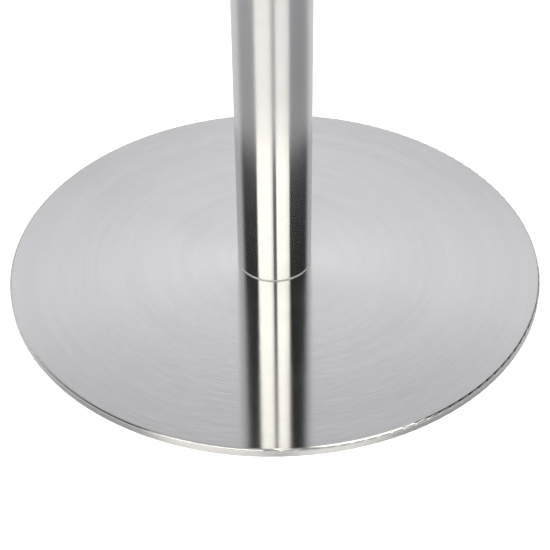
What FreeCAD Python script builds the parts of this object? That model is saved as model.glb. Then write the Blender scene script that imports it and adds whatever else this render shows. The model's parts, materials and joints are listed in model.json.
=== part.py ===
"""Rope barrier stanchion: a flat round base, a 50 mm tube post and a head with four rope loops.

Millimetres, +Z up. The origin is on the floor, at the middle of the base. The post stands on the
Z axis, and the four rope loops point along +X, +Y, -X and -Y when the collar is at rest.
One STEP file is written per piece.
"""

import FreeCAD, Part
import math
import os

# ---- Driving dimensions ----
OVERALL_HEIGHT = 950.0
BASE_RADIUS = 180.0
BASE_HEIGHT = 6.2
TUBE_RADIUS = 25.0
TUBE_WALL = 1.2

# ---- Base ----
COVER_SHEET = 1.0            # spun stainless sheet
COVER_EDGE_ROUND = 1.5       # outside rounding between the top and the rim
COVER_LOWER_ROUND = 0.5
COVER_LIFT = 0.4             # the rim stays this far above the floor
COVER_LIP = 4.0              # the rim is turned in under the weight by this much
COVER_LIP_SHEET = 0.8
PAD_THICKNESS = COVER_LIFT + COVER_LIP_SHEET
PAD_RADIUS = BASE_RADIUS - COVER_LIP - 2.0
PAD_HOLE_RADIUS = 11.0
PAD_EDGE_ROUND = 0.3
WEIGHT_CLEARANCE = 0.1
WEIGHT_CHAMFER = 1.2
RING_THICKNESS = 0.6         # nylon ring between the post and the cover
RING_OVERHANG = 0.2
RING_TOP_ROUND = 0.25
RING_LOWER_ROUND = 0.1

# ---- Foot fastening: M8 countersunk socket screw and two spring pins ----
SCREW_RADIUS = 4.0
SCREW_HEAD_RADIUS = 8.0
SCREW_HEAD_LAND = 0.3
SCREW_HEAD_CLEARANCE = 0.1
SCREW_RECESS = 0.15          # the head lies this far inside the weight
SCREW_LENGTH = 30.0
SCREW_END_CHAMFER = 1.0
SCREW_KEY = 5.0              # across the flats
SCREW_KEY_DEPTH = 2.7
SCREW_HOLE_RADIUS = 4.7
PIN_RADIUS = 2.0
PIN_WALL = 0.5
PIN_SLIT = 0.8
PIN_LENGTH = 10.0
PIN_OFFSET = 17.0            # from the post's axis
PIN_START = 1.8
PIN_END_SPACE = 0.5
PIN_HOLE_CLEARANCE = 0.25    # in the cover and the ring; the weight and the plug hold the pins

# ---- Plugs inside the tube ----
PLUG_CLEARANCE = 0.05
PLUG_CHAMFER = 1.0
PLUG_LENGTH = 30.0
FOOT_RELIEF_RADIUS = 12.0
FOOT_THREAD_LENGTH = 18.0
TIGHT_CLEARANCE = 0.02       # around threads, pins and seated bars
TUBE_EDGE_ROUND = 0.3

# ---- Head ----
FLANGE_HEIGHT = 4.0
FLANGE_UPPER_ROUND = 0.8
NECK_RADIUS = 17.0
NECK_EDGE_ROUND = 0.4
SOCKET_RELIEF_RADIUS = 14.0
SOCKET_RELIEF_DEPTH = 20.0
WASHER_THICKNESS = 1.0
WASHER_INSET = 1.2           # the washers stop this far inside the collar
WASHER_BORE_CLEARANCE = 0.15
WASHER_EDGE_ROUND = 0.2
COLLAR_HEIGHT = 18.0
COLLAR_PLAY = 0.1            # above and below the collar
COLLAR_ROUND = 1.2
BUSH_WALL = 1.5
BUSH_RUNNING_CLEARANCE = 0.08
CAP_RADIUS = 29.0
CAP_HEIGHT = 10.0
CAP_CROWN = 0.8
CAP_ROUND = 2.4
CAP_UNDER_CHAMFER = 1.5
CAP_CHAMFER_ROUNDS = (0.4, 0.6)
STUD_RADIUS = 5.0
STUD_IN_CAP = 6.5
STUD_IN_SOCKET = 24.0
STUD_CHAMFER = 0.8
STUD_END_SPACE = 0.3

# ---- Rope loops ----
LOOP_COUNT = 4
LOOP_BAR_RADIUS = 3.0
LOOP_BEND_RADIUS = 10.0      # to the middle of the bar, and half the distance between the legs
LOOP_REACH = 50.0            # outermost point, from the post's axis
LOOP_SEAT_START = 19.2       # flat end of each leg inside the collar, from the plane through the axis

# ---- Grub screws that hold the head socket ----
GRUB_COUNT = 3
GRUB_RADIUS = 2.5
GRUB_LENGTH = 8.0
GRUB_KEY = 2.5
GRUB_KEY_DEPTH = 2.4
GRUB_SUNK = 0.35             # below the tube's surface
GRUB_BELOW_END = 12.0
GRUB_FIRST_ANGLE = 90.0
GRUB_HOLE_CLEARANCE = 0.1    # in the tube; the socket is tapped
GRUB_END_SPACE = 0.5

CUT_MARGIN = 1.0             # how far a cutting bar stands out of what it cuts
LEVEL_TOLERANCE = 0.1

# ---- Levels, worked out from the above ----
TUBE_BORE = TUBE_RADIUS - TUBE_WALL
TUBE_BOTTOM = BASE_HEIGHT + RING_THICKNESS
NECK_HEIGHT = 2 * WASHER_THICKNESS + COLLAR_HEIGHT + 2 * COLLAR_PLAY
CAP_BOTTOM = OVERALL_HEIGHT - CAP_HEIGHT
FLANGE_TOP = CAP_BOTTOM - NECK_HEIGHT
TUBE_TOP = FLANGE_TOP - FLANGE_HEIGHT
COLLAR_BOTTOM = FLANGE_TOP + WASHER_THICKNESS + COLLAR_PLAY
COLLAR_TOP = COLLAR_BOTTOM + COLLAR_HEIGHT
COLLAR_MIDDLE = (COLLAR_BOTTOM + COLLAR_TOP) / 2
COLLAR_BORE = NECK_RADIUS + BUSH_RUNNING_CLEARANCE + BUSH_WALL
WEIGHT_TOP = BASE_HEIGHT - COVER_SHEET
PLUG_RADIUS = TUBE_BORE - PLUG_CLEARANCE

UP = FreeCAD.Vector(0, 0, 1)
OUT = FreeCAD.Vector(1, 0, 0)
ORIGIN = FreeCAD.Vector(0, 0, 0)


# ---- Shapes that several pieces use ----
def outline(corners):
    """Closed wire in the XZ plane through (radius, height, rounding) corners."""
    points = [FreeCAD.Vector(radius, 0, height) for radius, height, _ in corners]
    bends = []
    for i, (_, _, rounding) in enumerate(corners):
        here = points[i]
        if rounding == 0:
            bends.append((here, None, here))
            continue
        before = (points[i - 1] - here).normalize()
        after = (points[(i + 1) % len(points)] - here).normalize()
        half_angle = before.getAngle(after) / 2
        start = here + before * (rounding / math.tan(half_angle))
        end = here + after * (rounding / math.tan(half_angle))
        to_centre = (before + after).normalize()
        middle = here + to_centre * (rounding / math.sin(half_angle) - rounding)
        bends.append((start, middle, end))
    edges = []
    for i, (start, middle, end) in enumerate(bends):
        if middle is not None:
            edges.append(Part.Arc(start, middle, end).toShape())
        next_start = bends[(i + 1) % len(bends)][0]
        if end.distanceToPoint(next_start) > 1e-6:
            edges.append(Part.LineSegment(end, next_start).toShape())
    return Part.Wire(edges)


def turned(*corners):
    """Solid turned about the Z axis from its half section."""
    return Part.Face(outline(corners)).revolve(ORIGIN, UP, 360)


def rod(radius, start, length, direction=UP):
    """Plain round bar."""
    return Part.makeCylinder(radius, length, start, direction)


def key_bar(across_flats, start, length, direction=UP):
    """Six-sided bar for cutting a key socket."""
    corner_radius = across_flats / math.sqrt(3)
    corners = []
    for i in range(7):
        angle = math.radians(60 * i)
        corners.append(FreeCAD.Vector(math.cos(angle), math.sin(angle), 0) * corner_radius)
    bar = Part.Face(Part.makePolygon(corners)).extrude(UP * length)
    bar.Placement = FreeCAD.Placement(start, FreeCAD.Rotation(UP, direction))
    return bar


def around(shape, angle):
    """Copy of a shape turned about the post's axis, in degrees."""
    copy = shape.copy()
    copy.rotate(ORIGIN, UP, angle)
    return copy


def pin_places():
    return [OUT * (side * PIN_OFFSET) for side in (-1, 1)]


def cut_pin_holes(shape, clearance, bottom, top):
    for place in pin_places():
        shape = shape.cut(rod(PIN_RADIUS + clearance, place + UP * bottom, top - bottom))
    return shape


def grub_places():
    """(outer end, inward direction) of each grub screw."""
    places = []
    for i in range(GRUB_COUNT):
        angle = math.radians(GRUB_FIRST_ANGLE + 360 * i / GRUB_COUNT)
        outward = FreeCAD.Vector(math.cos(angle), math.sin(angle), 0)
        end = outward * (TUBE_RADIUS - GRUB_SUNK) + UP * (TUBE_TOP - GRUB_BELOW_END)
        places.append((end, outward * -1))
    return places


# ---- Base pieces ----
def base_cover():
    """Spun sheet disc with a rounded edge, a low rim and a lip turned in under the weight."""
    lip_inner = BASE_RADIUS - COVER_LIP
    inside = BASE_RADIUS - COVER_SHEET
    shell = turned(
        (SCREW_HOLE_RADIUS, BASE_HEIGHT, 0),
        (BASE_RADIUS, BASE_HEIGHT, COVER_EDGE_ROUND),
        (BASE_RADIUS, COVER_LIFT, COVER_LOWER_ROUND),
        (lip_inner, COVER_LIFT, 0),
        (lip_inner, PAD_THICKNESS, 0),
        (inside, PAD_THICKNESS, 0),
        (inside, WEIGHT_TOP, COVER_EDGE_ROUND - COVER_SHEET),
        (SCREW_HOLE_RADIUS, WEIGHT_TOP, 0),
    )
    return cut_pin_holes(shell, PIN_HOLE_CLEARANCE, WEIGHT_TOP - CUT_MARGIN, BASE_HEIGHT + CUT_MARGIN)


def base_weight():
    """Steel disc that fills the cover, with a countersink for the foot screw from below."""
    rim = BASE_RADIUS - COVER_SHEET - WEIGHT_CLEARANCE
    sink_top = PAD_THICKNESS + SCREW_RECESS + SCREW_HEAD_LAND
    sink_radius = SCREW_HEAD_RADIUS + SCREW_HEAD_CLEARANCE
    disc = turned(
        (sink_radius - (WEIGHT_TOP - sink_top), WEIGHT_TOP, 0),
        (rim - WEIGHT_CHAMFER, WEIGHT_TOP, 0),
        (rim, WEIGHT_TOP - WEIGHT_CHAMFER, 0),
        (rim, PAD_THICKNESS, 0),
        (sink_radius, PAD_THICKNESS, 0),
        (sink_radius, sink_top, 0),
    )
    return cut_pin_holes(disc, TIGHT_CLEARANCE, 0, BASE_HEIGHT)


def floor_pad():
    """Rubber sheet glued under the weight. The stanchion stands on it."""
    return turned(
        (PAD_HOLE_RADIUS, 0, 0),
        (PAD_RADIUS, 0, PAD_EDGE_ROUND),
        (PAD_RADIUS, PAD_THICKNESS, 0),
        (PAD_HOLE_RADIUS, PAD_THICKNESS, 0),
    )


def foot_screw():
    """Countersunk screw that pulls the post down on the base."""
    bottom = PAD_THICKNESS + SCREW_RECESS
    cone_start = bottom + SCREW_HEAD_LAND
    cone_end = cone_start + SCREW_HEAD_RADIUS - SCREW_RADIUS
    top = bottom + SCREW_LENGTH
    screw = turned(
        (0, bottom, 0),
        (SCREW_HEAD_RADIUS, bottom, 0),
        (SCREW_HEAD_RADIUS, cone_start, 0),
        (SCREW_RADIUS, cone_end, 0),
        (SCREW_RADIUS, top - SCREW_END_CHAMFER, 0),
        (SCREW_RADIUS - SCREW_END_CHAMFER, top, 0),
        (0, top, 0),
    )
    return screw.cut(key_bar(SCREW_KEY, UP * (bottom - CUT_MARGIN), SCREW_KEY_DEPTH + CUT_MARGIN))


def locating_pins():
    """Two slit spring pins that stop the post from turning on its screw."""
    pins = []
    for place in pin_places():
        start = place + UP * PIN_START
        pin = rod(PIN_RADIUS, start, PIN_LENGTH).cut(rod(PIN_RADIUS - PIN_WALL, start, PIN_LENGTH))
        slit_corner = start + FreeCAD.Vector(0, -PIN_SLIT / 2, 0)
        pins.append(pin.cut(Part.makeBox(2 * PIN_RADIUS, PIN_SLIT, PIN_LENGTH, slit_corner)))
    return Part.makeCompound(pins)


def foot_ring():
    """Thin nylon ring that keeps the tube's edge from marking the cover."""
    outer = TUBE_RADIUS + RING_OVERHANG
    ring = turned(
        (SCREW_HOLE_RADIUS, BASE_HEIGHT, 0),
        (outer, BASE_HEIGHT, RING_LOWER_ROUND),
        (outer, TUBE_BOTTOM, RING_TOP_ROUND),
        (SCREW_HOLE_RADIUS, TUBE_BOTTOM, 0),
    )
    return cut_pin_holes(ring, PIN_HOLE_CLEARANCE, 0, TUBE_BOTTOM + CUT_MARGIN)


# ---- Post pieces ----
def foot_plug():
    """Turned plug fixed in the bottom of the tube, with a tapped hole for the foot screw."""
    top = TUBE_BOTTOM + PLUG_LENGTH
    thread_top = TUBE_BOTTOM + FOOT_THREAD_LENGTH
    bore = SCREW_RADIUS + TIGHT_CLEARANCE
    plug = turned(
        (bore, TUBE_BOTTOM, 0),
        (PLUG_RADIUS, TUBE_BOTTOM, 0),
        (PLUG_RADIUS, top - PLUG_CHAMFER, 0),
        (PLUG_RADIUS - PLUG_CHAMFER, top, 0),
        (FOOT_RELIEF_RADIUS, top, 0),
        (FOOT_RELIEF_RADIUS, thread_top, 0),
        (bore, thread_top, 0),
    )
    return cut_pin_holes(plug, TIGHT_CLEARANCE, 0, PIN_START + PIN_LENGTH + PIN_END_SPACE)


def post_tube():
    tube = turned(
        (TUBE_BORE, TUBE_BOTTOM, 0),
        (TUBE_RADIUS, TUBE_BOTTOM, TUBE_EDGE_ROUND),
        (TUBE_RADIUS, TUBE_TOP, TUBE_EDGE_ROUND),
        (TUBE_BORE, TUBE_TOP, 0),
    )
    radius = GRUB_RADIUS + GRUB_HOLE_CLEARANCE
    for end, inward in grub_places():
        start = end - inward * CUT_MARGIN
        tube = tube.cut(rod(radius, start, 2 * TUBE_WALL + CUT_MARGIN, inward))
    return tube


def socket_screws():
    """Three grub screws through the tube into the head socket."""
    screws = []
    for end, inward in grub_places():
        key = key_bar(GRUB_KEY, end - inward * CUT_MARGIN, GRUB_KEY_DEPTH + CUT_MARGIN, inward)
        screws.append(rod(GRUB_RADIUS, end, GRUB_LENGTH, inward).cut(key))
    return Part.makeCompound(screws)


# ---- Head pieces ----
def head_socket():
    """Turned plug for the top of the tube, with a flange and the neck that the collar turns on."""
    bottom = TUBE_TOP - PLUG_LENGTH
    relief_top = bottom + SOCKET_RELIEF_DEPTH
    bore = STUD_RADIUS + TIGHT_CLEARANCE
    socket = turned(
        (SOCKET_RELIEF_RADIUS, bottom, 0),
        (PLUG_RADIUS - PLUG_CHAMFER, bottom, 0),
        (PLUG_RADIUS, bottom + PLUG_CHAMFER, 0),
        (PLUG_RADIUS, TUBE_TOP, 0),
        (TUBE_RADIUS, TUBE_TOP, TUBE_EDGE_ROUND),
        (TUBE_RADIUS, FLANGE_TOP, FLANGE_UPPER_ROUND),
        (NECK_RADIUS, FLANGE_TOP, 0),
        (NECK_RADIUS, CAP_BOTTOM, NECK_EDGE_ROUND),
        (bore, CAP_BOTTOM, 0),
        (bore, relief_top, 0),
        (SOCKET_RELIEF_RADIUS, relief_top, 0),
    )
    radius = GRUB_RADIUS + TIGHT_CLEARANCE
    for end, inward in grub_places():
        socket = socket.cut(rod(radius, end, GRUB_LENGTH + GRUB_END_SPACE, inward))
    return socket


def washer(bottom):
    bore = NECK_RADIUS + WASHER_BORE_CLEARANCE
    outer = TUBE_RADIUS - WASHER_INSET
    return turned(
        (bore, bottom, 0),
        (outer, bottom, WASHER_EDGE_ROUND),
        (outer, bottom + WASHER_THICKNESS, WASHER_EDGE_ROUND),
        (bore, bottom + WASHER_THICKNESS, 0),
    )


def lower_washer():
    return washer(FLANGE_TOP)


def upper_washer():
    return washer(CAP_BOTTOM - WASHER_THICKNESS)


def collar_bush():
    """Nylon sleeve pressed into the collar. It runs on the neck."""
    inner = NECK_RADIUS + BUSH_RUNNING_CLEARANCE
    return turned(
        (inner, COLLAR_BOTTOM, 0),
        (COLLAR_BORE, COLLAR_BOTTOM, 0),
        (COLLAR_BORE, COLLAR_TOP, 0),
        (inner, COLLAR_TOP, 0),
    )


def collar_ring():
    """Turning collar with two blind holes for the legs of each loop."""
    bore = COLLAR_BORE + TIGHT_CLEARANCE
    ring = turned(
        (bore, COLLAR_BOTTOM, 0),
        (TUBE_RADIUS, COLLAR_BOTTOM, COLLAR_ROUND),
        (TUBE_RADIUS, COLLAR_TOP, COLLAR_ROUND),
        (bore, COLLAR_TOP, 0),
    )
    for i in range(LOOP_COUNT):
        for side in (-1, 1):
            start = FreeCAD.Vector(LOOP_SEAT_START, side * LOOP_BEND_RADIUS, COLLAR_MIDDLE)
            seat = rod(LOOP_BAR_RADIUS + TIGHT_CLEARANCE, start, TUBE_RADIUS, OUT)
            ring = ring.cut(around(seat, 360 * i / LOOP_COUNT))
    return ring


def rope_loop(angle):
    """U of round bar: two legs seated in the collar and a half-round bend."""
    bend_start = LOOP_REACH - LOOP_BAR_RADIUS - LOOP_BEND_RADIUS
    near_seat = FreeCAD.Vector(LOOP_SEAT_START, -LOOP_BEND_RADIUS, COLLAR_MIDDLE)
    near_bend = FreeCAD.Vector(bend_start, -LOOP_BEND_RADIUS, COLLAR_MIDDLE)
    tip = FreeCAD.Vector(bend_start + LOOP_BEND_RADIUS, 0, COLLAR_MIDDLE)
    far_bend = FreeCAD.Vector(bend_start, LOOP_BEND_RADIUS, COLLAR_MIDDLE)
    far_seat = FreeCAD.Vector(LOOP_SEAT_START, LOOP_BEND_RADIUS, COLLAR_MIDDLE)
    path = Part.Wire([
        Part.LineSegment(near_seat, near_bend).toShape(),
        Part.Arc(near_bend, tip, far_bend).toShape(),
        Part.LineSegment(far_bend, far_seat).toShape(),
    ])
    section = Part.Wire([Part.Circle(near_seat, OUT, LOOP_BAR_RADIUS).toShape()])
    return around(path.makePipeShell([section], True, True), angle)


def cap_stud():
    bottom = CAP_BOTTOM - STUD_IN_SOCKET
    top = CAP_BOTTOM + STUD_IN_CAP
    return turned(
        (0, bottom, 0),
        (STUD_RADIUS - STUD_CHAMFER, bottom, 0),
        (STUD_RADIUS, bottom + STUD_CHAMFER, 0),
        (STUD_RADIUS, top - STUD_CHAMFER, 0),
        (STUD_RADIUS - STUD_CHAMFER, top, 0),
        (0, top, 0),
    )


def is_level_at(edge, height):
    """Whether an edge lies in the horizontal plane at this height."""
    box = edge.BoundBox
    return abs(box.Center.z - height) < LEVEL_TOLERANCE and box.ZLength < LEVEL_TOLERANCE


def top_cap():
    """Round cap with a faintly crowned top. It screws onto the stud and keeps the collar in place."""
    crown_radius = (CAP_RADIUS**2 + CAP_CROWN**2) / (2 * CAP_CROWN)
    shoulder = OVERALL_HEIGHT - CAP_CROWN
    inner_round, outer_round = CAP_CHAMFER_ROUNDS
    body = turned(
        (0, CAP_BOTTOM, 0),
        (CAP_RADIUS - CAP_UNDER_CHAMFER, CAP_BOTTOM, inner_round),
        (CAP_RADIUS, CAP_BOTTOM + CAP_UNDER_CHAMFER, outer_round),
        (CAP_RADIUS, OVERALL_HEIGHT + CUT_MARGIN, 0),
        (0, OVERALL_HEIGHT + CUT_MARGIN, 0),
    )
    body = body.common(Part.makeSphere(crown_radius, UP * (OVERALL_HEIGHT - crown_radius)))
    top_edges = [edge for edge in body.Edges if is_level_at(edge, shoulder)]
    body = body.makeFillet(CAP_ROUND, top_edges)
    hole_depth = STUD_IN_CAP + STUD_END_SPACE
    hole = rod(STUD_RADIUS + TIGHT_CLEARANCE, UP * (CAP_BOTTOM - CUT_MARGIN), hole_depth + CUT_MARGIN)
    return body.cut(hole)


PIECES = {
    "base_cover": base_cover,
    "base_weight": base_weight,
    "floor_pad": floor_pad,
    "foot_screw": foot_screw,
    "locating_pins": locating_pins,
    "foot_ring": foot_ring,
    "foot_plug": foot_plug,
    "post_tube": post_tube,
    "head_socket": head_socket,
    "socket_screws": socket_screws,
    "lower_washer": lower_washer,
    "upper_washer": upper_washer,
    "collar_bush": collar_bush,
    "collar_ring": collar_ring,
    "cap_stud": cap_stud,
    "top_cap": top_cap,
}


def main():
    os.makedirs("parts", exist_ok=True)
    shapes = {name: make() for name, make in PIECES.items()}
    for i in range(LOOP_COUNT):
        shapes[f"rope_loop_{i + 1}"] = rope_loop(360 * i / LOOP_COUNT)
    for name, shape in shapes.items():
        for solid in shape.Solids:
            if not solid.isValid() or solid.Volume <= 0:
                raise RuntimeError(f"{name} is not a sound solid")
        shape.exportStep(f"parts/{name}.step")
        box = shape.BoundBox
        print(f"{name}: {shape.Volume:.0f} mm3, z {box.ZMin:.2f} to {box.ZMax:.2f}")


main()
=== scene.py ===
"""Rope barrier stanchion: materials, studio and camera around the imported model.

Metres, +Z up, floor at z = 0.
"""

import json
import math

import bpy
from mathutils import Euler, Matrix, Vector


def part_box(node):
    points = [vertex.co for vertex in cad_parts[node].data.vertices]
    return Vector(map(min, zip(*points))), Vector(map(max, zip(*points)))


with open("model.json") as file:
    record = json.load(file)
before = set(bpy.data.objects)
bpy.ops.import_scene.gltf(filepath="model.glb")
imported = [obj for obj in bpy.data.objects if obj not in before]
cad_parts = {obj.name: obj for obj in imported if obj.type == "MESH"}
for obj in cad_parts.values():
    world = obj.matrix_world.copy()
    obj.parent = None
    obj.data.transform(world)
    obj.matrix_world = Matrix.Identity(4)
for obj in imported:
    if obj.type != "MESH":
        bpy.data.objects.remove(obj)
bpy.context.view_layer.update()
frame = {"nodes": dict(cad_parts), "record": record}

# ---- The object's own measure, from the frame ----
BASE_LOW, BASE_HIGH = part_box("base_cover")
BASE_RADIUS = (BASE_HIGH.x - BASE_LOW.x) / 2

# ---- Camera, fitted to the base's ellipse and the post's sides ----
CAMERA_DISTANCE = 5.395 * BASE_RADIUS
CAMERA_ELEVATION = math.radians(39.2)
CAMERA_ROLL = math.radians(-0.60)
CAMERA_LENS = 92.3
CAMERA_SENSOR = 36.0
CAMERA_SHIFT_X = 0.0006
CAMERA_SHIFT_Y = -0.0184

# ---- Studio, in degrees: azimuths from the camera's side, positive to the right; elevations ----
SOFTBOX_LEFT = (-52.0, -3.0)
SOFTBOX_LEFT_FADE = (-13.0, -4.0)
SOFTBOX_LEFT_INNER = 0.62
SOFTBOX_RIGHT = (7.3, 47.5)
SOFTBOX_RIGHT_FADE = (28.0, 40.0)
SOFTBOX_RIGHT_OUTER = 0.86
SOFTBOX_UPRIGHT = (27.0, 56.0)
SOFTBOX_LEVEL = 3.0
SOFTBOX_TOP_FADE = (38.0, 50.0)
SOFTBOX_TOP = 0.62
SOFTBOX_COLOR = (1.0, 0.97, 0.85)
SOFTBOX_EDGE = 4.0
GAP_LEVEL = 0.22
SIDE_LEVELS = (0.01, 0.0)
SIDE_UPRIGHT = (30.0, 67.0)
SIDE_EDGE = 8.0
BACKDROP_FROM_LEFT = (99.0, 123.0)
BACKDROP_FROM_RIGHT = (109.0, 135.0)
BACKDROP_LEVEL = 0.57
BACKDROP_PEAK = 0.34
BACKDROP_PEAK_UPRIGHT = (26.5, 38.7, 48.0)
BACKDROP_GLOW = 0.20
BACKDROP_GLOW_FROM = 169.0
BACKDROP_GLOW_UPRIGHT = (32.0, 43.0)
BACKDROP_GLOW_EDGE = 8.0
WALL_LEVEL = 0.30
CEILING_LEVEL = 0.52
CEILING_IN_FRONT_FROM = (30.0, 60.0)
CEILING_BEHIND_FROM = (50.0, 85.0)
LEFT_TO_RIGHT = (-20.0, 20.0)
ROOM_COLOR = (0.985, 0.98, 1.0)
WHITE = (1.0, 1.0, 1.0, 1.0)
FLOOR_SIZE = 12.0
# Floor colours and ranges that paint light falloff: painted light near the base and behind it, and
# painted shade further out, darkest on the right
FLOOR_PAINTED_LIGHT_NEAR = (0.73, 0.75, 0.78)
FLOOR_PAINTED_SHADE_LEFT = (0.58, 0.60, 0.64)
FLOOR_PAINTED_SHADE_RIGHT = (0.47, 0.485, 0.53)
FLOOR_PAINTED_FALLOFF_RADII = (1.05 * BASE_RADIUS, 1.5 * BASE_RADIUS)
FLOOR_PAINTED_SHADE_ACROSS = (-BASE_RADIUS, BASE_RADIUS)
FLOOR_PAINTED_LIGHT_BEHIND = (-0.2 * BASE_RADIUS, 1.2 * BASE_RADIUS)
FLOOR_GLOSS_COLOR = (1.02, 1.0, 1.03)
FLOOR_GLOSS_INDEX = 1.7
FLOOR_GLOSS_GAIN = 4.0
FLOOR_GLOSS_MOST = 0.84
FLOOR_GLOSS_ROUGHNESS = 0.26
FLOOR_LIFT = 0.9


# ---- Node helpers ----
def put(tree, kind, inputs=None, **settings):
    """New node. Inputs go by name or number, as a value or as another node's output socket."""
    made = tree.nodes.new(kind)
    for name, value in settings.items():
        setattr(made, name, value)
    for name, value in (inputs or {}).items():
        if isinstance(value, bpy.types.NodeSocket):
            tree.links.new(value, made.inputs[name])
        else:
            made.inputs[name].default_value = value
    return made


def calc(tree, operation, *values):
    return put(tree, "ShaderNodeMath", dict(enumerate(values)), operation=operation).outputs[0]


def vector(tree, operation, first, second=None, scale=None):
    inputs = {0: first}
    if second is not None:
        inputs[1] = second
    if scale is not None:
        inputs["Scale"] = scale
    made = put(tree, "ShaderNodeVectorMath", inputs, operation=operation)
    return made.outputs["Value" if operation == "LENGTH" else "Vector"]


def ramp(tree, value, low, high, to_low=0.0, to_high=1.0):
    """Smooth step of a value, from to_low at low to to_high at high."""
    inputs = {
        "Value": value, "From Min": low, "From Max": high, "To Min": to_low, "To Max": to_high,
    }
    made = put(tree, "ShaderNodeMapRange", inputs, interpolation_type="SMOOTHSTEP")
    return made.outputs["Result"]


def band(tree, value, low, high, soft):
    """1 between low and high, and 0 outside them."""
    rise = ramp(tree, value, low - soft / 2, low + soft / 2)
    fall = ramp(tree, value, high - soft / 2, high + soft / 2, 1.0, 0.0)
    return calc(tree, "MULTIPLY", rise, fall)


def blend(tree, factor, start, end):
    """Number going from start to end as factor goes from 0 to 1."""
    inputs = {"Factor": factor, "A": start, "B": end}
    return put(tree, "ShaderNodeMix", inputs, data_type="FLOAT").outputs[0]


def blend_color(tree, factor, start, end):
    inputs = {"Fac": factor, "Color1": start, "Color2": end}
    for name in ("Color1", "Color2"):
        if isinstance(inputs[name], tuple):
            inputs[name] = (*inputs[name], 1.0)
    return put(tree, "ShaderNodeMixRGB", inputs).outputs[0]


def noise(tree, place, scale, detail=2.0):
    inputs = {"Vector": place, "Scale": scale, "Detail": detail}
    return put(tree, "ShaderNodeTexNoise", inputs).outputs[0]


def mix_shader(tree, factor, first, second):
    return put(tree, "ShaderNodeMixShader", {0: factor, 1: first, 2: second}).outputs[0]


# ---- Studio ----
def make_world():
    """Surroundings by direction.

    Two softboxes in front, dark sides, a pale backdrop behind, and the wall and ceiling.
    """
    world = bpy.data.worlds.new("studio")
    bpy.context.scene.world = world
    world.use_nodes = True
    tree = world.node_tree
    tree.nodes.clear()
    direction = put(tree, "ShaderNodeTexCoord").outputs["Generated"]
    parts = put(tree, "ShaderNodeSeparateXYZ", {"Vector": direction}).outputs
    towards_camera = calc(tree, "MULTIPLY", parts["Y"], -1.0)
    azimuth = calc(tree, "DEGREES", calc(tree, "ARCTAN2", parts["X"], towards_camera))
    elevation = calc(tree, "DEGREES", calc(tree, "ARCSINE", parts["Z"]))

    room = vector(tree, "SCALE", ROOM_COLOR, scale=room_level(tree, azimuth, elevation))
    lights = vector(tree, "SCALE", SOFTBOX_COLOR, scale=softbox_level(tree, azimuth, elevation))
    both = vector(tree, "ADD", room, lights)
    studio = put(tree, "ShaderNodeBackground", {"Color": both}).outputs[0]
    white = put(tree, "ShaderNodeBackground", {"Color": WHITE}).outputs[0]
    seen_directly = put(tree, "ShaderNodeLightPath").outputs["Is Camera Ray"]
    put(tree, "ShaderNodeOutputWorld", {"Surface": mix_shader(tree, seen_directly, studio, white)})


def room_level(tree, azimuth, elevation):
    """Brightness of everything but the softboxes."""
    above = ramp(tree, elevation, *CEILING_IN_FRONT_FROM)
    plain = blend(tree, above, WALL_LEVEL, CEILING_LEVEL)
    to_right = ramp(tree, azimuth, *LEFT_TO_RIGHT)
    between = band(tree, azimuth, SOFTBOX_LEFT[0], SOFTBOX_RIGHT[1], SOFTBOX_EDGE)
    dark = blend(tree, between, blend(tree, to_right, *SIDE_LEVELS), GAP_LEVEL)
    front = blend(tree, band(tree, elevation, *SIDE_UPRIGHT, SIDE_EDGE), plain, dark)

    sideways = calc(tree, "ABSOLUTE", azimuth)
    peak_low, peak_at, peak_high = BACKDROP_PEAK_UPRIGHT
    rise = ramp(tree, elevation, peak_low, peak_at)
    fall = ramp(tree, elevation, peak_at, peak_high, 1.0, 0.0)
    peak = calc(tree, "MULTIPLY", rise, fall)
    backdrop = calc(tree, "MULTIPLY_ADD", peak, BACKDROP_PEAK, BACKDROP_LEVEL)
    glow = calc(tree, "MULTIPLY", ramp(tree, sideways, BACKDROP_GLOW_FROM, 180.0),
                band(tree, elevation, *BACKDROP_GLOW_UPRIGHT, BACKDROP_GLOW_EDGE))
    backdrop = calc(tree, "MULTIPLY_ADD", glow, BACKDROP_GLOW, backdrop)
    overhead = ramp(tree, elevation, *CEILING_BEHIND_FROM)
    backdrop = blend(tree, overhead, backdrop, CEILING_LEVEL)
    behind_left = ramp(tree, sideways, *BACKDROP_FROM_LEFT)
    behind_right = ramp(tree, sideways, *BACKDROP_FROM_RIGHT)
    return blend(tree, blend(tree, to_right, behind_left, behind_right), front, backdrop)


def softbox_level(tree, azimuth, elevation):
    """Brightness of the two softboxes. Each is dimmer at one side."""
    left = band(tree, azimuth, *SOFTBOX_LEFT, SOFTBOX_EDGE)
    left_fade = ramp(tree, azimuth, *SOFTBOX_LEFT_FADE, 1.0, SOFTBOX_LEFT_INNER)
    left = calc(tree, "MULTIPLY", left, left_fade)
    right = band(tree, azimuth, *SOFTBOX_RIGHT, SOFTBOX_EDGE)
    right_fade = ramp(tree, azimuth, *SOFTBOX_RIGHT_FADE, 1.0, SOFTBOX_RIGHT_OUTER)
    right = calc(tree, "MULTIPLY", right, right_fade)
    upright = band(tree, elevation, *SOFTBOX_UPRIGHT, SOFTBOX_EDGE)
    level = calc(tree, "MULTIPLY", calc(tree, "ADD", left, right), upright)
    top_fade = ramp(tree, elevation, *SOFTBOX_TOP_FADE, 1.0, SOFTBOX_TOP)
    level = calc(tree, "MULTIPLY", level, top_fade)
    return calc(tree, "MULTIPLY", level, SOFTBOX_LEVEL)


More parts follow.
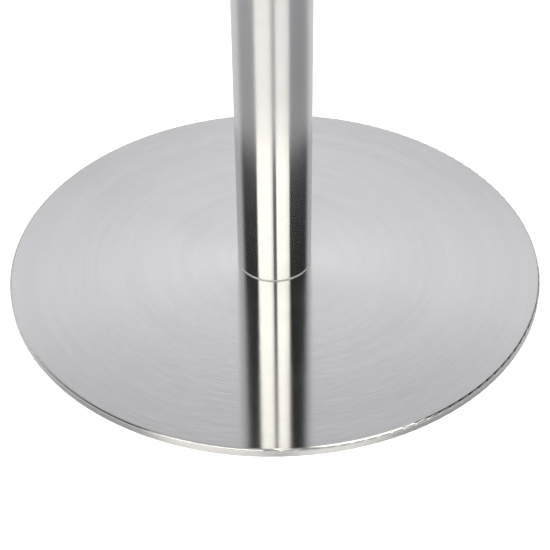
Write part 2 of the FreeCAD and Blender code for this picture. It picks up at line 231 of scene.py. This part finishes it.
def floor_gloss(tree):
    """Weak reflections, stronger at glancing angles."""
    glancing = put(tree, "ShaderNodeFresnel", {"IOR": FLOOR_GLOSS_INDEX}).outputs[0]
    share = calc(tree, "MULTIPLY", glancing, FLOOR_GLOSS_GAIN)
    share = calc(tree, "MINIMUM", share, FLOOR_GLOSS_MOST)
    inputs = {
        "Color": vector(tree, "SCALE", FLOOR_GLOSS_COLOR, scale=share),
        "Roughness": FLOOR_GLOSS_ROUGHNESS,
    }
    return put(tree, "ShaderNodeBsdfGlossy", inputs).outputs[0]


def make_floor():
    """White floor: lifted to white where seen directly, lit and a little glossy in reflections. Its
    colour is painted light falloff: painted light near the base and behind it, and painted shade
    darker outwards and to the right.
    """
    bpy.ops.mesh.primitive_plane_add(size=FLOOR_SIZE, location=(0.0, 0.0, 0.0))
    floor = bpy.context.object
    floor.name = "floor"
    made = bpy.data.materials.new("floor_white")
    made.use_nodes = True
    tree = made.node_tree
    tree.nodes.clear()
    direct = put(tree, "ShaderNodeLightPath").outputs["Is Camera Ray"]
    place = object_place(tree)
    parts = put(tree, "ShaderNodeSeparateXYZ", {"Vector": place}).outputs
    # Painted light and shade: the floor colour is painted darker to the right and outwards from the
    # base, and bright again behind it
    painted_shade_rightwards = ramp(tree, parts["X"], *FLOOR_PAINTED_SHADE_ACROSS)
    painted_shade_far = blend_color(tree, painted_shade_rightwards, FLOOR_PAINTED_SHADE_LEFT, FLOOR_PAINTED_SHADE_RIGHT)
    painted_shade_far = blend_color(tree, ramp(tree, parts["Y"], *FLOOR_PAINTED_LIGHT_BEHIND), painted_shade_far, FLOOR_PAINTED_LIGHT_NEAR)
    painted_falloff_outwards = ramp(tree, vector(tree, "LENGTH", place), *FLOOR_PAINTED_FALLOFF_RADII)
    painted_light_falloff = blend_color(tree, painted_falloff_outwards, FLOOR_PAINTED_LIGHT_NEAR, painted_shade_far)
    matt = put(tree, "ShaderNodeBsdfDiffuse", {"Color": painted_light_falloff}).outputs[0]
    lift = put(tree, "ShaderNodeEmission", {"Color": WHITE, "Strength": FLOOR_LIFT})
    added = mix_shader(tree, direct, floor_gloss(tree), lift.outputs[0])
    surface = put(tree, "ShaderNodeAddShader", {0: matt, 1: added}).outputs[0]
    put(tree, "ShaderNodeOutputMaterial", {"Surface": surface})
    floor.data.materials.append(made)


def make_camera():
    data = bpy.data.cameras.new("camera")
    data.lens = CAMERA_LENS
    data.sensor_width = CAMERA_SENSOR
    data.shift_x = CAMERA_SHIFT_X
    data.shift_y = CAMERA_SHIFT_Y
    camera = bpy.data.objects.new("camera", data)
    bpy.context.scene.collection.objects.link(camera)
    place = Vector((0.0, -math.cos(CAMERA_ELEVATION), math.sin(CAMERA_ELEVATION))) * CAMERA_DISTANCE
    camera.location = place
    aim = (-place).to_track_quat("-Z", "Y")
    roll = Euler((0.0, 0.0, CAMERA_ROLL)).to_quaternion()
    camera.rotation_euler = (aim @ roll).to_euler()
    bpy.context.scene.camera = camera


# ---- Parts of materials ----
# How level a face is, from 0 on an upright side to 1 on a flat face
FLAT_FROM = (0.93, 0.99)
EDGE_SLOPES = (0.12, 0.96)
EDGE_SOFTNESS = 0.06


def new_material(name, metallic):
    made = bpy.data.materials.new(name)
    made.use_nodes = True
    tree = made.node_tree
    shader = tree.nodes["Principled BSDF"]
    shader.inputs["Metallic"].default_value = metallic
    return made, tree, shader


def object_place(tree):
    return put(tree, "ShaderNodeTexCoord").outputs["Object"]


def turned_coordinates(tree):
    """Place, unit direction from the axis, and distance along a turned piece's outline."""
    place = object_place(tree)
    flat = vector(tree, "MULTIPLY", place, (1.0, 1.0, 0.0))
    radius = vector(tree, "LENGTH", flat)
    height = put(tree, "ShaderNodeSeparateXYZ", {"Vector": place}).outputs["Z"]
    return place, vector(tree, "NORMALIZE", flat), calc(tree, "SUBTRACT", radius, height)


def grain(tree, outward, along, turns, lines, detail=2.0):
    """Noise drawn out round the axis.

    Turns sets how often it changes going round the axis, lines how often per metre across it.
    """
    around = vector(tree, "SCALE", outward, scale=turns)
    across = calc(tree, "MULTIPLY", along, lines)
    across = put(tree, "ShaderNodeCombineXYZ", {"Z": across}).outputs[0]
    return noise(tree, vector(tree, "ADD", around, across), 1.0, detail)


def centred(tree, value, amount):
    """Noise moved to vary about 0, times an amount."""
    return calc(tree, "MULTIPLY", calc(tree, "SUBTRACT", value, 0.5), amount)


def lean_normal(tree, shader, tangent, lean):
    """Leans the surface's normal across the grain."""
    normal = put(tree, "ShaderNodeNewGeometry").outputs["Normal"]
    crosswise = vector(tree, "CROSS_PRODUCT", normal, tangent)
    leaning = vector(tree, "ADD", normal, vector(tree, "SCALE", crosswise, scale=lean))
    tree.links.new(vector(tree, "NORMALIZE", leaning), shader.inputs["Normal"])


def faces_and_edges(tree):
    """Two masks: a piece's flat faces and its edge roundings. Both are 0 on upright sides."""
    normal = put(tree, "ShaderNodeNewGeometry").outputs["Normal"]
    upwards = put(tree, "ShaderNodeSeparateXYZ", {"Vector": normal}).outputs["Z"]
    levelness = calc(tree, "ABSOLUTE", upwards)
    return ramp(tree, levelness, *FLAT_FROM), band(tree, levelness, *EDGE_SLOPES, EDGE_SOFTNESS)


def specks(tree, place, per_metre, size, share):
    """Small round marks of this radius in metres, in a share of the cells of a random grid."""
    cells = put(tree, "ShaderNodeTexVoronoi", {"Vector": place, "Scale": per_metre}).outputs
    pick = put(tree, "ShaderNodeSeparateColor", {"Color": cells["Color"]}).outputs[0]
    chosen = calc(tree, "LESS_THAN", pick, share)
    near = ramp(tree, cells["Distance"], size * per_metre * 0.5, size * per_metre, 1.0, 0.0)
    return calc(tree, "MULTIPLY", chosen, near)


def hairlines(tree, place, scale, width):
    """Thin wandering scratches, where a noise passes through its middle value."""
    off_middle = calc(tree, "ABSOLUTE", centred(tree, noise(tree, place, scale, 1.0), 1.0))
    line = ramp(tree, off_middle, width * 0.3, width, 1.0, 0.0)
    patches = ramp(tree, noise(tree, place, scale * 1.7, 0.0), 0.5, 0.62)
    return calc(tree, "MULTIPLY", line, patches)


def bump(tree, shader, height, strength, distance):
    inputs = {"Height": height, "Strength": strength, "Distance": distance}
    made = put(tree, "ShaderNodeBump", inputs)
    tree.links.new(made.outputs[0], shader.inputs["Normal"])


# ---- Materials ----
FACE_ROUGHNESS = 0.115
SIDE_ROUGHNESS = 0.145
EDGE_ROUGHNESS = 0.16
FACE_HAIR_LEAN = 0.12
SIDE_HAIR_LEAN = 0.06
EDGE_HAIR_LEAN = 0.02
BRUSH_LEAN = 0.006
STREAK_LEAN = 0.001
# Grains: changes going round the axis, lines per metre across it, detail
HAIRS = (15.0, 14000.0, 0.0)
BRUSH = (3.0, 3200.0, 1.0)
STREAKS = (0.8, 350.0, 1.0)
RINGS = (0.5, 75.0, 3.0)
STEEL_WARM = (0.663, 0.651, 0.659)
STEEL_COOL = (0.650, 0.655, 0.661)
STEEL_CLOUDED = (0.646, 0.646, 0.652)
STEEL_PALE = (0.69, 0.685, 0.688)
STEEL_EDGE = (0.80, 0.80, 0.80)
STEEL_SPECK = (0.22, 0.21, 0.20)


def satin_color(tree, tints, clouds, streaks, rings, edges, marks):
    """Steel from warm to cool, with clouds, pale streaks and rings, pale edges and dark specks."""
    steel = blend_color(tree, ramp(tree, tints, 0.3, 0.7), STEEL_WARM, STEEL_COOL)
    steel = blend_color(tree, ramp(tree, clouds, 0.3, 0.7, 0.0, 0.5), steel, STEEL_CLOUDED)
    steel = blend_color(tree, ramp(tree, streaks, 0.35, 0.75, 0.0, 0.35), steel, STEEL_PALE)
    steel = blend_color(tree, ramp(tree, rings, 0.4, 0.65, 0.0, 0.5), steel, STEEL_PALE)
    steel = blend_color(tree, edges, steel, STEEL_EDGE)
    return blend_color(tree, calc(tree, "MULTIPLY", marks, 0.4), steel, STEEL_SPECK)


def satin_roughness(tree, flats, edges, clouds, streaks, marks):
    rough = blend(tree, flats, SIDE_ROUGHNESS, FACE_ROUGHNESS)
    rough = calc(tree, "ADD", rough, centred(tree, streaks, 0.006))
    rough = calc(tree, "ADD", rough, ramp(tree, clouds, 0.5, 0.75, 0.0, 0.02))
    rough = calc(tree, "MULTIPLY_ADD", marks, 0.2, rough)
    return blend(tree, edges, rough, EDGE_ROUGHNESS)


def satin_stainless():
    """Stainless steel brushed round its axis, with paler edge roundings."""
    made, tree, shader = new_material("satin_stainless", 1.0)
    place, outward, along = turned_coordinates(tree)
    hairs = grain(tree, outward, along, *HAIRS)
    brush = grain(tree, outward, along, *BRUSH)
    streaks = grain(tree, outward, along, *STREAKS)
    rings = grain(tree, outward, along, *RINGS)
    clouds = noise(tree, place, 16.0, 3.0)
    tints = noise(tree, place, 40.0, 2.0)
    flats, edges = faces_and_edges(tree)
    marks = specks(tree, place, 55.0, 0.0004, 0.25)

    steel = satin_color(tree, tints, clouds, streaks, rings, edges, marks)
    tree.links.new(steel, shader.inputs["Base Color"])
    rough = satin_roughness(tree, flats, edges, clouds, streaks, marks)
    tree.links.new(rough, shader.inputs["Roughness"])

    shader.inputs["Anisotropic"].default_value = 1.0
    shader.inputs["Anisotropic Rotation"].default_value = 0.25
    tangent = put(tree, "ShaderNodeTangent", direction_type="RADIAL", axis="Z").outputs[0]
    tree.links.new(tangent, shader.inputs["Tangent"])
    depth = blend(tree, flats, SIDE_HAIR_LEAN, FACE_HAIR_LEAN)
    depth = blend(tree, edges, depth, EDGE_HAIR_LEAN)
    lean = calc(tree, "MULTIPLY", centred(tree, hairs, 1.0), depth)
    lean = calc(tree, "ADD", lean, centred(tree, brush, BRUSH_LEAN))
    lean_normal(tree, shader, tangent, calc(tree, "ADD", lean, centred(tree, streaks, STREAK_LEAN)))
    return made


def polished_stainless():
    """Mirror-polished stainless steel with hairline scratches and faint clouding."""
    made, tree, shader = new_material("polished_stainless", 1.0)
    place = object_place(tree)
    clouds = noise(tree, place, 120.0, 3.0)
    scratches = hairlines(tree, place, 260.0, 0.02)
    bright, clouded, scratched = (0.76, 0.755, 0.75), (0.70, 0.70, 0.71), (0.45, 0.45, 0.45)
    steel = blend_color(tree, ramp(tree, clouds, 0.3, 0.7), bright, clouded)
    steel = blend_color(tree, calc(tree, "MULTIPLY", scratches, 0.25), steel, scratched)
    tree.links.new(steel, shader.inputs["Base Color"])
    rough = ramp(tree, clouds, 0.35, 0.75, 0.05, 0.12)
    tree.links.new(calc(tree, "MULTIPLY_ADD", scratches, 0.16, rough), shader.inputs["Roughness"])
    height = calc(tree, "MULTIPLY", scratches, -0.4)
    height = calc(tree, "ADD", height, noise(tree, place, 900.0, 2.0))
    bump(tree, shader, height, 0.12, 0.00003)
    return made


def turned_steel():
    """Plain steel as it leaves the lathe: fine grooves round the axis and a thin oil stain."""
    made, tree, shader = new_material("turned_steel", 1.0)
    place, outward, along = turned_coordinates(tree)
    grooves = grain(tree, outward, along, 0.6, 2600.0, 1.0)
    stain = noise(tree, place, 70.0, 3.0)
    clean, stained = (0.55, 0.54, 0.53), (0.40, 0.37, 0.33)
    steel = blend_color(tree, ramp(tree, stain, 0.4, 0.7), clean, stained)
    tree.links.new(steel, shader.inputs["Base Color"])
    rough = ramp(tree, stain, 0.4, 0.7, 0.27, 0.42)
    rough = calc(tree, "ADD", centred(tree, grooves, 0.12), rough)
    tree.links.new(rough, shader.inputs["Roughness"])
    bump(tree, shader, grooves, 0.5, 0.00006)
    return made


def zinc_steel():
    """Zinc-plated steel: small crystal patches, bluish to warm, with scuffs."""
    made, tree, shader = new_material("zinc_steel", 1.0)
    place = object_place(tree)
    crystals = put(tree, "ShaderNodeTexVoronoi", {"Vector": place, "Scale": 850.0}).outputs["Color"]
    patch = put(tree, "ShaderNodeSeparateColor", {"Color": crystals}).outputs[0]
    clouds = noise(tree, place, 160.0, 3.0)
    scuffs = hairlines(tree, place, 320.0, 0.03)
    bluish, bright, yellowed = (0.58, 0.61, 0.66), (0.69, 0.69, 0.68), (0.63, 0.60, 0.50)
    zinc = blend_color(tree, patch, bluish, bright)
    zinc = blend_color(tree, ramp(tree, clouds, 0.5, 0.8), zinc, yellowed)
    tree.links.new(zinc, shader.inputs["Base Color"])
    rough = calc(tree, "MULTIPLY_ADD", patch, 0.12, ramp(tree, clouds, 0.3, 0.7, 0.24, 0.36))
    tree.links.new(calc(tree, "MULTIPLY_ADD", scuffs, 0.15, rough), shader.inputs["Roughness"])
    bump(tree, shader, noise(tree, place, 1800.0, 3.0), 0.2, 0.00005)
    return made


def black_steel():
    """Black-primed steel plate with a grainy surface and a few rusty spots."""
    made, tree, shader = new_material("black_steel", 0.0)
    place = object_place(tree)
    tone = noise(tree, place, 40.0, 4.0)
    rust = specks(tree, place, 90.0, 0.0022, 0.12)
    dark, grey, rusty = (0.018, 0.018, 0.019), (0.042, 0.041, 0.040), (0.11, 0.045, 0.02)
    paint = blend_color(tree, ramp(tree, tone, 0.35, 0.7), dark, grey)
    paint = blend_color(tree, calc(tree, "MULTIPLY", rust, 0.7), paint, rusty)
    tree.links.new(paint, shader.inputs["Base Color"])
    rough = calc(tree, "MULTIPLY_ADD", rust, 0.25, ramp(tree, tone, 0.3, 0.7, 0.45, 0.65))
    tree.links.new(rough, shader.inputs["Roughness"])
    bump(tree, shader, noise(tree, place, 900.0, 3.0), 0.35, 0.00012)
    return made


def pad_rubber():
    """Black rubber sheet with a fine pebbled grip and a little dust."""
    made, tree, shader = new_material("pad_rubber", 0.0)
    place = object_place(tree)
    cells = put(tree, "ShaderNodeTexVoronoi", {"Vector": place, "Scale": 700.0})
    pebbles = calc(tree, "SUBTRACT", 1.0, cells.outputs["Distance"])
    dust = noise(tree, place, 30.0, 4.0)
    clean, dusty = (0.017, 0.017, 0.018), (0.060, 0.058, 0.054)
    rubber = blend_color(tree, ramp(tree, dust, 0.45, 0.75), clean, dusty)
    tree.links.new(rubber, shader.inputs["Base Color"])
    tree.links.new(ramp(tree, dust, 0.3, 0.7, 0.62, 0.85), shader.inputs["Roughness"])
    height = calc(tree, "MULTIPLY_ADD", noise(tree, place, 2600.0, 2.0), 0.3, pebbles)
    bump(tree, shader, height, 0.5, 0.0002)
    return made


def pale_nylon():
    """Milky semi-gloss nylon with faint mould flow and rubbed patches."""
    made, tree, shader = new_material("pale_nylon", 0.0)
    place = object_place(tree)
    flow = noise(tree, place, 90.0, 3.0)
    rubbed = noise(tree, place, 260.0, 2.0)
    milky, denser = (0.92, 0.93, 0.94), (0.85, 0.86, 0.86)
    nylon = blend_color(tree, ramp(tree, flow, 0.35, 0.7), milky, denser)
    tree.links.new(nylon, shader.inputs["Base Color"])
    tree.links.new(ramp(tree, rubbed, 0.35, 0.7, 0.16, 0.30), shader.inputs["Roughness"])
    bump(tree, shader, noise(tree, place, 2400.0, 2.0), 0.2, 0.00003)
    return made


def black_nylon():
    """Moulded black nylon: a close grain, soft gloss and rubbed patches."""
    made, tree, shader = new_material("black_nylon", 0.0)
    place = object_place(tree)
    rubbed = noise(tree, place, 180.0, 3.0)
    close_grain = noise(tree, place, 3200.0, 2.0)
    black, worn = (0.014, 0.014, 0.015), (0.032, 0.031, 0.030)
    nylon = blend_color(tree, ramp(tree, rubbed, 0.4, 0.75), black, worn)
    tree.links.new(nylon, shader.inputs["Base Color"])
    rough = ramp(tree, rubbed, 0.35, 0.7, 0.34, 0.48)
    rough = calc(tree, "ADD", rough, centred(tree, close_grain, 0.08))
    tree.links.new(rough, shader.inputs["Roughness"])
    bump(tree, shader, close_grain, 0.3, 0.00005)
    return made


MATERIALS = {
    "satin_stainless": satin_stainless,
    "polished_stainless": polished_stainless,
    "turned_steel": turned_steel,
    "zinc_steel": zinc_steel,
    "black_steel": black_steel,
    "pad_rubber": pad_rubber,
    "pale_nylon": pale_nylon,
    "black_nylon": black_nylon,
}


def assign_materials():
    made = {slot: make() for slot, make in MATERIALS.items()}
    for entry in frame["record"]["subparts"]:
        mesh = frame["nodes"][entry["node"]].data
        mesh.materials.clear()
        mesh.materials.append(made[entry["material_slot"]])


def set_view():
    view = bpy.context.scene.view_settings
    view.view_transform = "Standard"
    view.look = "None"
    view.exposure = 0.0
    view.gamma = 1.0


make_camera()
make_world()
make_floor()
assign_materials()
set_view()
